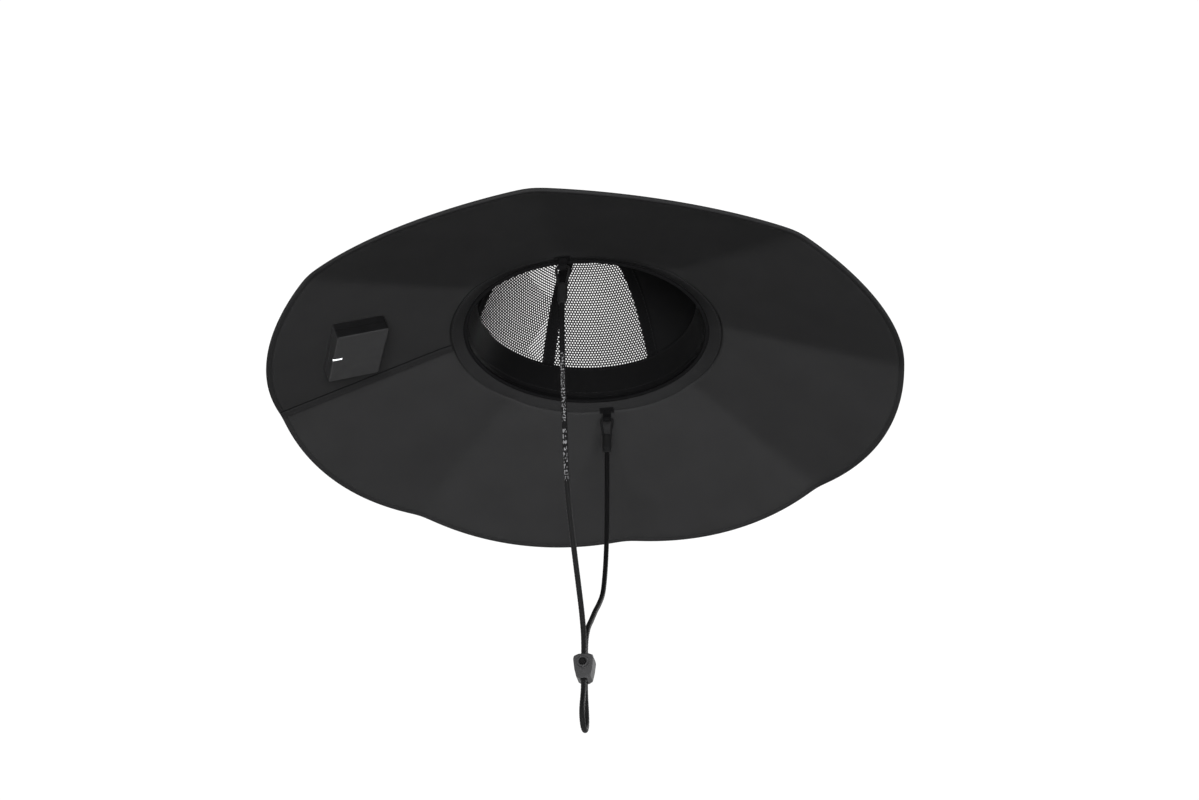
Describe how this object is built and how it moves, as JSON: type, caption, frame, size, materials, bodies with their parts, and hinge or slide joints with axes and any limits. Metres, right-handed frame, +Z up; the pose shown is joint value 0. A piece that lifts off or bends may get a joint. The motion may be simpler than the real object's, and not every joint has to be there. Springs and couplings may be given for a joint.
{
  "type": "solar charging bucket hat",
  "caption": "Wide-brimmed sun hat with solar panels on its faceted brim, a see-through mesh crown, a control box under the brim and a chin cord with a cord lock.",
  "frame": {"origin": "centre of the head opening, in the plane of its edge, where the hat sits on a head", "axes": "+Z up through the crown, -Y towards the front of the hat, +X towards the wearer's left"},
  "size_m": [0.474, 0.474, 0.4328],
  "materials": {
    "brim_cloth": "smooth tightly woven polyester, matt, charcoal",
    "trim_cloth": "black ribbed tape, matt",
    "sweatband_cloth": "smooth black knit with a faint satin sheen",
    "crown_cloth": "matt black woven cloth",
    "mesh_cloth": "open black mesh with round holes",
    "solar_cells": "dark blue-black flexible solar sheet under a clear satin film",
    "moulded_plastic": "charcoal moulded plastic, finely matt",
    "light_plastic": "milky white light window",
    "cord_braid": "round braided cord, black, with short pale flecks on one stretch",
    "lock_plastic": "smooth grey moulded plastic",
    "button_plastic": "smooth dark grey moulded plastic"
  },
  "bodies": {
    "hat": {"brim": "brim_cloth", "brim_binding": "trim_cloth", "back_seam": "brim_cloth", "opening_band": "brim_cloth", "sweatband": "sweatband_cloth", "crown_front": "crown_cloth", "crown_mesh_1": "mesh_cloth", "crown_mesh_2": "mesh_cloth", "crown_mesh_3": "mesh_cloth", "crown_mesh_4": "mesh_cloth", "crown_tape_top": "trim_cloth", "crown_tape_back": "trim_cloth", "crown_tape_right": "trim_cloth", "crown_tape_left": "trim_cloth", "solar_panel_1": "solar_cells", "solar_panel_2": "solar_cells", "solar_panel_3": "solar_cells", "solar_panel_4": "solar_cells", "solar_panel_5": "solar_cells", "solar_panel_6": "solar_cells", "solar_panel_7": "solar_cells", "solar_panel_8": "solar_cells", "control_box": "moulded_plastic", "status_light": "light_plastic", "anchor_tab_right": "trim_cloth", "anchor_tab_left": "trim_cloth", "cord_end_right": "moulded_plastic", "cord_end_left": "moulded_plastic", "chin_cord": "cord_braid", "lock_body": "lock_plastic"},
    "lock_button": {"lock_button": "button_plastic"}
  },
  "joints": [
    {"name": "lock_press", "type": "slide", "parent": "hat", "child": "lock_button", "axis": [0.9999, -0.014, 0], "range_m": [0, 0.001], "stiffness_N_per_m": 800}
  ]
}
